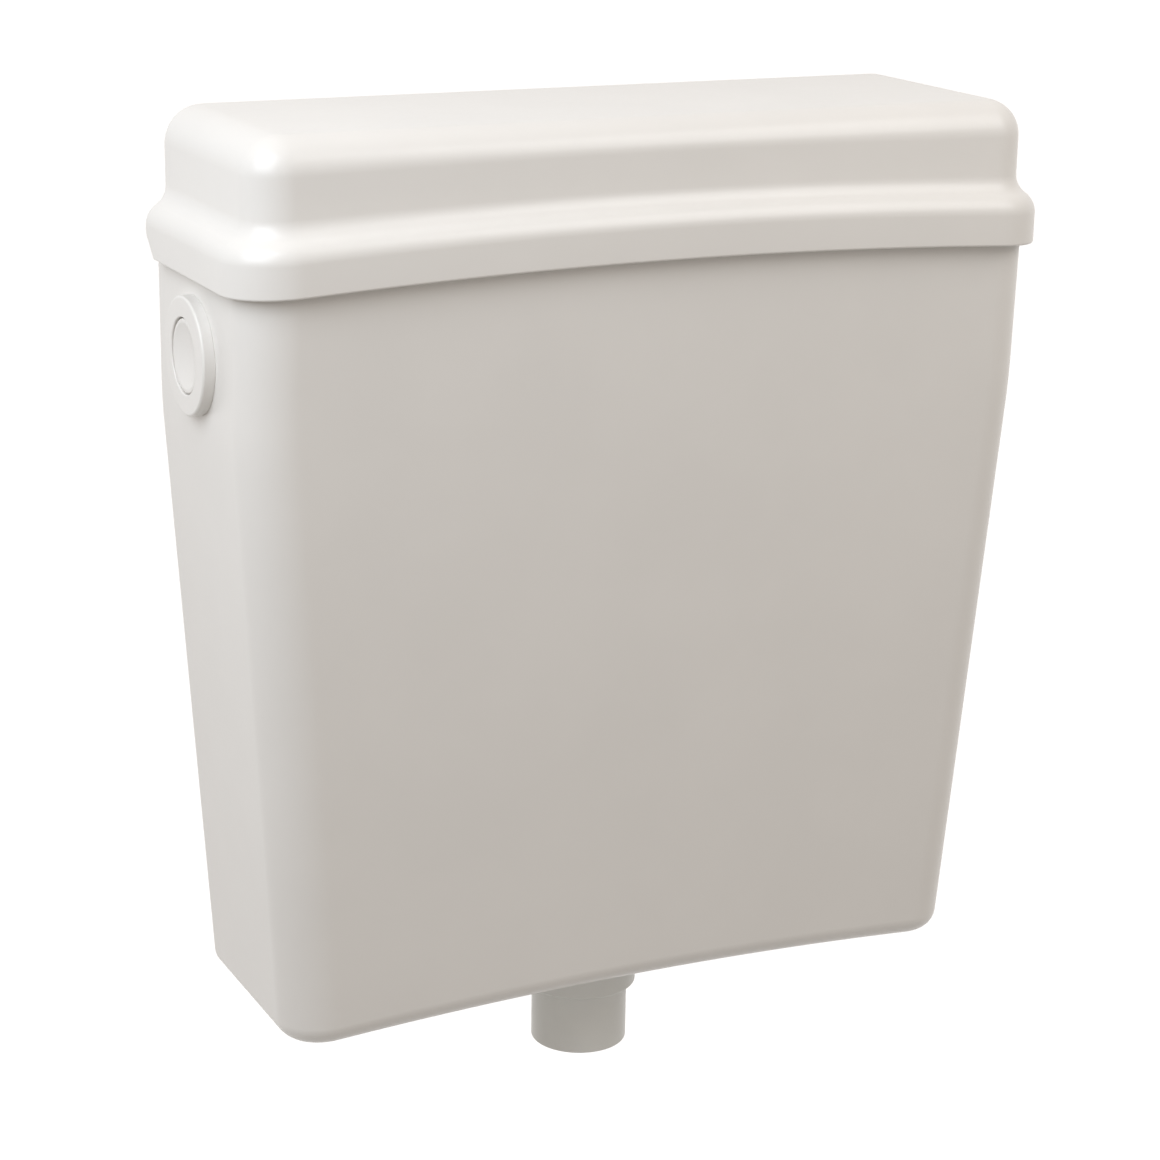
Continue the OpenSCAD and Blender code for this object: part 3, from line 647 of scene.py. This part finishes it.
spigot_radius, spigot_wall, spigot_end, neck_radius = 25.0, 3.0, -52.5, 24.0
spigot_bore = spigot_radius - spigot_wall
spigot_outline = [
    (spigot_bore, spigot_end, 0.8), (spigot_radius, spigot_end, 1.0), (spigot_radius, tail_end, 0.4),
    (neck_radius, tail_end, 0), (neck_radius, socket_top, 0.4), (spigot_bore, socket_top, 0.4)]
spigot = turned("outlet_spigot_moulding", with_fillets(spigot_outline, closed=True), outlet, UP)
stand_for(spigot, "outlet_spigot")

# %% [markdown]
# ## The float valve
#
# The valve's body is one moulding: a barrel with the piston in it, a flange that seals on the tank's inside,
# and a threaded shank and tail that pass through the wall to the water pipe. A spout under the barrel carries
# the fill tube, and two ears carry the float's arm. It is turned first, and the rest is joined on and
# cut out.

# %% Float valve body
barrel_left, barrel_right, barrel_radius = 143.8, 197.8, 11.5
chamber_right, chamber_radius = 189.8, 8.05
nozzle_right, nozzle_radius, bore_radius = 201.8, 6.0, 4.5
body_flange, body_flange_radius = 200.8, 17.0
shank_end = 215.0
inlet_end, inlet_radius = 235.0, 10.48
shank_thread = (203.5, 214.6, 1.8)
inlet_thread = (215.6, 234.4, 1.81)
pipe_thread_depth = 1.0
body_outline = [
    (chamber_radius, barrel_left, 0.3), (barrel_radius, barrel_left, 0.5), (barrel_radius, barrel_right, 0.8),
    (body_flange_radius, barrel_right, 0.6), (body_flange_radius, body_flange, 0.3),
    (shank_radius, body_flange, 0), *thread_run(shank_radius, *shank_thread), (shank_radius, shank_end, 0),
    (inlet_radius, shank_end, 0),
    *thread_run(inlet_radius, *inlet_thread), (inlet_radius, inlet_end, 0.4), (bore_radius, inlet_end, 0.4),
    (bore_radius, nozzle_right, 0), (nozzle_radius, nozzle_right, 0), (nozzle_radius, chamber_right, 0),
    (chamber_radius, chamber_right, 0)]
cut_shank = thread(shank_radius, *shank_thread, pipe_thread_depth)
cut_inlet = thread(inlet_radius, *inlet_thread, pipe_thread_depth)
valve = turned("float_valve_moulding", with_fillets(body_outline, closed=True), inlet, RIGHT,
               segments=fewer_sides, form=lambda r, along, a: cut_inlet(cut_shank(r, along, a), along, a))
print("turned valve body:", len(valve.data.polygons), "faces")

# %% Spout and ears of the valve
spout = (182.8, -inlet_depth, 0)
collar_radius, collar_low, collar_high = 9.5, 318.0, 331.0
spout_radius, spout_low, spout_high = 7.5, 305.0, 325.0
spout_bore_radius, bore_past = 4.5, 1.0
pivot_x, pivot_z = 163.777, 313.5
pivot = (pivot_x, -inlet_depth, pivot_z)
ear_inner, ear_outer, ear_half, ear_drop, ear_rise = 4.3, 7.8, 7.0, 6.0, 9.5
slot_half, slot_low, slot_high = 9.5, 4.0, 14.0
pin_hole_radius, pin_hole_half = 2.02, 20.0


def cuboid(name, low, high):
    """Block between two corners."""
    outline = [(low[1], low[2]), (high[1], low[2]), (high[1], high[2]), (low[1], high[2])]
    return prism(name, outline, low[0], high[0])


carve(valve, rod("spout_collar", collar_radius, collar_low, collar_high, spout, UP), "UNION")
carve(valve, rod("spout", spout_radius, spout_low, spout_high, spout, UP), "UNION")
for near, far in ((-ear_outer, -ear_inner), (ear_inner, ear_outer)):
    ear = cuboid("ear", (pivot_x - ear_half, near - inlet_depth, pivot_z - ear_drop),
                 (pivot_x + ear_half, far - inlet_depth, pivot_z + ear_rise))
    carve(valve, ear, "UNION")
chamber = rod("chamber", chamber_radius, barrel_left - bore_past, chamber_right, inlet, RIGHT)
carve(valve, chamber, "DIFFERENCE")
spout_bore = rod("spout_bore", spout_bore_radius, spout_low - bore_past, collar_high + bore_past, spout, UP)
carve(valve, spout_bore, "DIFFERENCE")
slot = cuboid("nose_slot", (pivot_x - slot_half, -ear_inner - inlet_depth, pivot_z + slot_low),
              (pivot_x + slot_half, ear_inner - inlet_depth, pivot_z + slot_high))
carve(valve, slot, "DIFFERENCE")
pin_hole = rod("pin_hole", pin_hole_radius, -pin_hole_half, pin_hole_half, pivot, BACK)
carve(valve, pin_hole, "DIFFERENCE")
stand_for(valve, "float_valve_body")

# %% [markdown]
# ## The float
#
# The float is two blue half balls welded together, and the weld leaves a low bead round the middle. A short
# neck takes the end of the arm. It hangs as in a drained tank.

# %% Float
float_hang = math.radians(48)
float_reach, float_radius, float_neck = 88.0, 35.0, 7.0
socket_bottom, neck_start, arm_radius = 65.1, 50.0, 3.25
bead_rise, bead_half = 0.6, 1.4
ball_steps = 96
ball_outline = [(0, socket_bottom, 0), (arm_radius, socket_bottom, 0), (arm_radius, neck_start, 0.2),
                (float_neck, neck_start, 0.8)]
first_angle = math.asin(float_neck / float_radius)
for k in range(ball_steps + 1):
    angle = first_angle + (math.pi - first_angle) * k / ball_steps
    off_middle = abs(float_radius * (math.pi / 2 - angle))
    bead = bead_rise * max(0.0, 1 - (off_middle / bead_half) ** 2)
    ball_outline.append(((float_radius + bead) * math.sin(angle) if k < ball_steps else 0,
                         float_reach - (float_radius + bead) * math.cos(angle), 0))
arm_direction = (-math.cos(float_hang), 0, -math.sin(float_hang))
ball = turned("float_ball", with_fillets(ball_outline, closed=False), pivot, arm_direction,
              closed=False, segments=fewer_sides)
stand_for(ball, "float")

# %% [markdown]
# ## Soft edges on the rest
#
# The pieces inside are mostly blocks, tubes and discs, and their engineering solids are already right.
# They only lack the small radius that every moulded or turned edge has. A bevel on the sharp edges gives it,
# without touching the solid itself.

# %% Bevels
edge_radius = 0.35 * MM
facet_gap = 0.01 * MM
replaced = {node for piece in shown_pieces() for node in piece.get("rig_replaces", [])}
plain_nodes = {name: node for name, node in frame["nodes"].items() if name not in replaced}
for name, node in plain_nodes.items():
    node.modifiers.new("Join the facets", "WELD").merge_threshold = facet_gap
    bevel = node.modifiers.new("Moulded edge", "BEVEL")
    bevel.width = edge_radius
    bevel.segments = 2
    bevel.limit_method = "ANGLE"
    bevel.angle_limit = math.radians(40)
    node.modifiers.new("Face weighted normals", "WEIGHTED_NORMAL").keep_sharp = True
print("bevelled nodes:", len(plain_nodes))

# %% [markdown]
# ## Finishes
#
# Each finish is named for its real material and for how its surface was made. One function adds a
# shader node with its settings and links, and another turns the usual hex colours into the linear
# light that Blender works in. Patterns are sized from millimetres, in the piece's own coordinates.

# %% Shader helpers
finishes = {}


def linear(code):
    """Linear colour of an sRGB hex code."""
    shares = [int(code[k:k + 2], 16) / 255 for k in (1, 3, 5)]
    return [s / 12.92 if s <= 0.04045 else ((s + 0.055) / 1.055) ** 2.4 for s in shares] + [1.0]


def add(tree, kind, inputs=None, **settings):
    """Adds a shader node: settings are its attributes, inputs are values or links by socket."""
    node = tree.nodes.new(kind)
    for key, value in settings.items():
        setattr(node, key, value)
    for key, value in (inputs or {}).items():
        if isinstance(value, bpy.types.NodeSocket):
            tree.links.new(value, node.inputs[key])
        else:
            node.inputs[key].default_value = value
    return node


def new_finish(slot, name):
    """Empty material for one of the record's slots: its node tree and the piece's coordinates."""
    material = bpy.data.materials.new(name)
    material.use_nodes = True
    material.node_tree.nodes.clear()
    finishes[slot] = material
    return material.node_tree, add(material.node_tree, "ShaderNodeTexCoord").outputs["Object"]


def per_metre(size_mm):
    """Texture scale whose pattern repeats about once in a size in millimetres."""
    return 1 / (size_mm * MM)


def moulded(slot, name, colours, ior, roughness, peel_mm, peel_depth_mm, wave_mm, wave_depth_mm):
    """Moulded plastic: a faint cloud of colour, uneven gloss, orange peel and slow sink marks."""
    tree, here = new_finish(slot, name)
    cloud = add(tree, "ShaderNodeTexNoise", {"Vector": here, "Scale": per_metre(wave_mm), "Detail": 3.0})
    peel = add(tree, "ShaderNodeTexNoise", {"Vector": here, "Scale": per_metre(peel_mm), "Detail": 2.0})
    shade = add(tree, "ShaderNodeValToRGB", {"Fac": cloud.outputs["Fac"]})
    for stop, place_on_ramp, colour in zip(shade.color_ramp.elements, (0.35, 0.65), colours):
        stop.position = place_on_ramp
        stop.color = linear(colour)
    gloss = add(tree, "ShaderNodeMapRange", {"Value": peel.outputs["Fac"], "From Min": 0.3, "From Max": 0.7,
                                             "To Min": roughness[0], "To Max": roughness[1]})
    sink = add(tree, "ShaderNodeBump", {"Height": cloud.outputs["Fac"], "Distance": wave_depth_mm * MM})
    skin_bump = add(tree, "ShaderNodeBump", {"Height": peel.outputs["Fac"], "Distance": peel_depth_mm * MM,
                                             "Normal": sink.outputs["Normal"]})
    surface = add(tree, "ShaderNodeBsdfPrincipled", {
        "Base Color": shade.outputs["Color"], "Roughness": gloss.outputs["Result"], "IOR": ior,
        "Normal": skin_bump.outputs["Normal"]})
    add(tree, "ShaderNodeOutputMaterial", {"Surface": surface.outputs["BSDF"]})


# %% Plastics
# High-impact polystyrene from a polished mould: a warm white with a broad, soft gloss. The real orange
# peel is finer than a pixel, so it is drawn at 3 mm.
moulded("white_shell", "Moulded white polystyrene", ("#ebe9e5", "#e9e7e3"), 1.59, (0.29, 0.34),
        peel_mm=3.0, peel_depth_mm=0.0015, wave_mm=55.0, wave_depth_mm=0.04)
# Polypropylene from a plain mould: a cooler white with a waxy look and a duller gloss.
moulded("white_fitting", "Moulded white polypropylene", ("#eef0ed", "#eaecea"), 1.49, (0.29, 0.37),
        peel_mm=2.0, peel_depth_mm=0.008, wave_mm=30.0, wave_depth_mm=0.06)
# Grey polypropylene with a spark-eroded mould: an even matt grey.
moulded("grey_fitting", "Matt grey polypropylene", ("#c6c6c3", "#bfbfbb"), 1.49, (0.48, 0.58),
        peel_mm=1.2, peel_depth_mm=0.015, wave_mm=25.0, wave_depth_mm=0.05)
# Blue ABS: a strong flat blue with a light satin grain.
moulded("blue_fitting", "Satin blue ABS", ("#426fa6", "#3b679c"), 1.53, (0.38, 0.48),
        peel_mm=1.2, peel_depth_mm=0.012, wave_mm=25.0, wave_depth_mm=0.05)
# Red acetal: slippery and slightly waxy, used where pieces slide.
moulded("red_fitting", "Waxy red acetal", ("#b54539", "#a83e33"), 1.48, (0.32, 0.40),
        peel_mm=1.0, peel_depth_mm=0.008, wave_mm=15.0, wave_depth_mm=0.04)
# EPDM rubber pressed in a steel mould: almost black, with a powdery grey bloom and no gloss.
moulded("black_rubber", "Pressed black rubber", ("#2c2c2d", "#222223"), 1.52, (0.68, 0.82),
        peel_mm=0.8, peel_depth_mm=0.02, wave_mm=12.0, wave_depth_mm=0.03)
print("plastics:", ", ".join(sorted(finishes)))

# %% [markdown]
# ## Metals
#
# The pins and the spring are drawn stainless wire, and the nozzle and the float's arm are turned brass. Both
# carry fine marks from the way they were made: streaks along the drawn pins, and a fine dulling on the brass.

# %% Steel and brass
def worked_metal(slot, name, colours, roughness, mark_mm, stretch):
    """Bare metal with fine drawn or turned marks: noise that is stretched along one direction."""
    tree, here = new_finish(slot, name)
    drawn = add(tree, "ShaderNodeMapping", {"Vector": here, "Scale": stretch})
    marks = add(tree, "ShaderNodeTexNoise", {"Vector": drawn.outputs["Vector"], "Scale": per_metre(mark_mm),
                                             "Detail": 4.0})
    shade = add(tree, "ShaderNodeValToRGB", {"Fac": marks.outputs["Fac"]})
    for stop, place_on_ramp, colour in zip(shade.color_ramp.elements, (0.3, 0.7), colours):
        stop.position = place_on_ramp
        stop.color = linear(colour)
    gloss = add(tree, "ShaderNodeMapRange", {"Value": marks.outputs["Fac"], "From Min": 0.3, "From Max": 0.7,
                                             "To Min": roughness[0], "To Max": roughness[1]})
    scratch = add(tree, "ShaderNodeBump", {"Height": marks.outputs["Fac"], "Distance": 0.01 * MM})
    surface = add(tree, "ShaderNodeBsdfPrincipled", {
        "Base Color": shade.outputs["Color"], "Roughness": gloss.outputs["Result"], "Metallic": 1.0,
        "Normal": scratch.outputs["Normal"]})
    add(tree, "ShaderNodeOutputMaterial", {"Surface": surface.outputs["BSDF"]})


# Drawn stainless steel: bright, with streaks along the wire and pins, which lie along y.
worked_metal("steel", "Drawn stainless steel", ("#c6c9cd", "#b4b8bd"), (0.16, 0.26), 0.6, (1.0, 0.08, 1.0))
# Turned brass: a warm yellow, dulled evenly by fine marks in all directions.
worked_metal("brass", "Turned brass", ("#d2ae66", "#caa55c"), (0.28, 0.36), 0.6, (1.0, 1.0, 1.0))
print("metals: steel, brass")

# %% Dress every piece
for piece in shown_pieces():
    slot = slot_of[piece["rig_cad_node"]] if "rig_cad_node" in piece else piece["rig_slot"]
    piece.data.materials.clear()
    piece.data.materials.append(finishes[slot])

# %% [markdown]
# ## Floor, light and camera
#
# The cistern hangs well above a pale studio floor, as it does on its wall. The floor glows for the camera
# and for reflections, so that it reads as white paper but still takes the soft shadow. A softbox stands
# high at the left, so that the lid's rolls and the top of the bezel's rim catch it. A weaker one lights the
# front from the right, and a warm even light fills the shadows.

# %% Floor
floor_height = -0.75
floor_reach = 30.0
paper_grain_mm, paper_glow = 4.0, 0.84
floor = bpy.data.meshes.new("studio_floor")
corners = [(-1, -1), (1, -1), (1, 1), (-1, 1)]
floor.from_pydata([(x * floor_reach, y * floor_reach, floor_height) for x, y in corners], [], [(0, 1, 2, 3)])
floor_object = bpy.data.objects.new("studio_floor", floor)
bpy.context.scene.collection.objects.link(floor_object)

paper = bpy.data.materials.new("White studio paper")
paper.use_nodes = True
tree = paper.node_tree
tree.nodes.clear()


def seen_rays(tree):
    """1 for rays from the camera, from gloss and through glass, and 0 for rays that light the object."""
    path = add(tree, "ShaderNodeLightPath")
    both = add(tree, "ShaderNodeMath", {0: path.outputs["Is Camera Ray"], 1: path.outputs["Is Glossy Ray"]},
               operation="ADD")
    total = add(tree, "ShaderNodeMath", {0: both.outputs[0], 1: path.outputs["Is Transmission Ray"]},
                operation="ADD", use_clamp=True)
    return total.outputs[0]


grain = add(tree, "ShaderNodeTexNoise", {"Scale": per_metre(paper_grain_mm), "Detail": 2.0})
tint = add(tree, "ShaderNodeValToRGB", {"Fac": grain.outputs["Fac"]})
tint.color_ramp.elements[0].color = linear("#b3b3b2")
tint.color_ramp.elements[1].color = linear("#b9b9b8")
matt = add(tree, "ShaderNodeBsdfDiffuse", {"Color": tint.outputs["Color"]})
glow = add(tree, "ShaderNodeEmission", {"Color": linear("#ffffff"), "Strength": paper_glow})
lit = add(tree, "ShaderNodeAddShader", {0: matt.outputs[0], 1: glow.outputs[0]})
mixed = add(tree, "ShaderNodeMixShader", {"Fac": seen_rays(tree), 1: matt.outputs[0], 2: lit.outputs[0]})
add(tree, "ShaderNodeOutputMaterial", {"Surface": mixed.outputs[0]})
floor.materials.append(paper)
print("floor at", floor_height, "m")

# %% Light
world = bpy.data.worlds.new("Studio")
world.use_nodes = True
world.node_tree.nodes.clear()
tree = world.node_tree
seen = add(tree, "ShaderNodeBackground", {"Color": linear("#ffffff"), "Strength": 1.0})
fill = add(tree, "ShaderNodeBackground", {"Color": linear("#fff4ea"), "Strength": 0.54})
mixed = add(tree, "ShaderNodeMixShader", {"Fac": seen_rays(tree), 1: fill.outputs[0], 2: seen.outputs[0]})
add(tree, "ShaderNodeOutputWorld", {"Surface": mixed.outputs[0]})
bpy.context.scene.world = world


def softbox(name, position, target, size, power, colour):
    """Square lamp that looks from its position at a target, in metres and watts."""
    lamp = bpy.data.lights.new(name, "AREA")
    lamp.shape = "SQUARE"
    lamp.size = size
    lamp.energy = power
    lamp.color = linear(colour)[:3]
    lamp_object = bpy.data.objects.new(name, lamp)
    lamp_object.location = position
    lamp_object.rotation_euler = (Vector(target) - Vector(position)).to_track_quat("-Z", "Y").to_euler()
    lamp_object.visible_camera = False
    bpy.context.scene.collection.objects.link(lamp_object)


softbox("left_softbox", (-0.75, -0.32, 0.50), (-0.15, -0.06, 0.0), 0.7, 5.5, "#eef6ff")
softbox("front_softbox", (0.45, -0.60, 0.60), (0.05, -0.06, 0.0), 0.6, 2.4, "#fffefd")

# %% Camera
scene = bpy.context.scene
camera_place = Vector((-0.6176, -1.3079, 0.2752))
camera_target = Vector((-0.0085, -0.060, -0.1420))
camera_roll = math.radians(0.916)
lens = bpy.data.cameras.new("photo_camera")
lens.lens = 89.65
lens.sensor_width = 36.0
lens.clip_end = 100.0
camera = bpy.data.objects.new("photo_camera", lens)
looking = (camera_target - camera_place).to_track_quat("-Z", "Y").to_matrix().to_4x4()
rolled = looking @ Matrix.Rotation(camera_roll, 4, "Z")
camera.matrix_world = Matrix.Translation(camera_place) @ rolled
scene.collection.objects.link(camera)
scene.camera = camera
scene.view_settings.view_transform = "Standard"
print("camera at", tuple(round(v, 3) for v in camera_place))
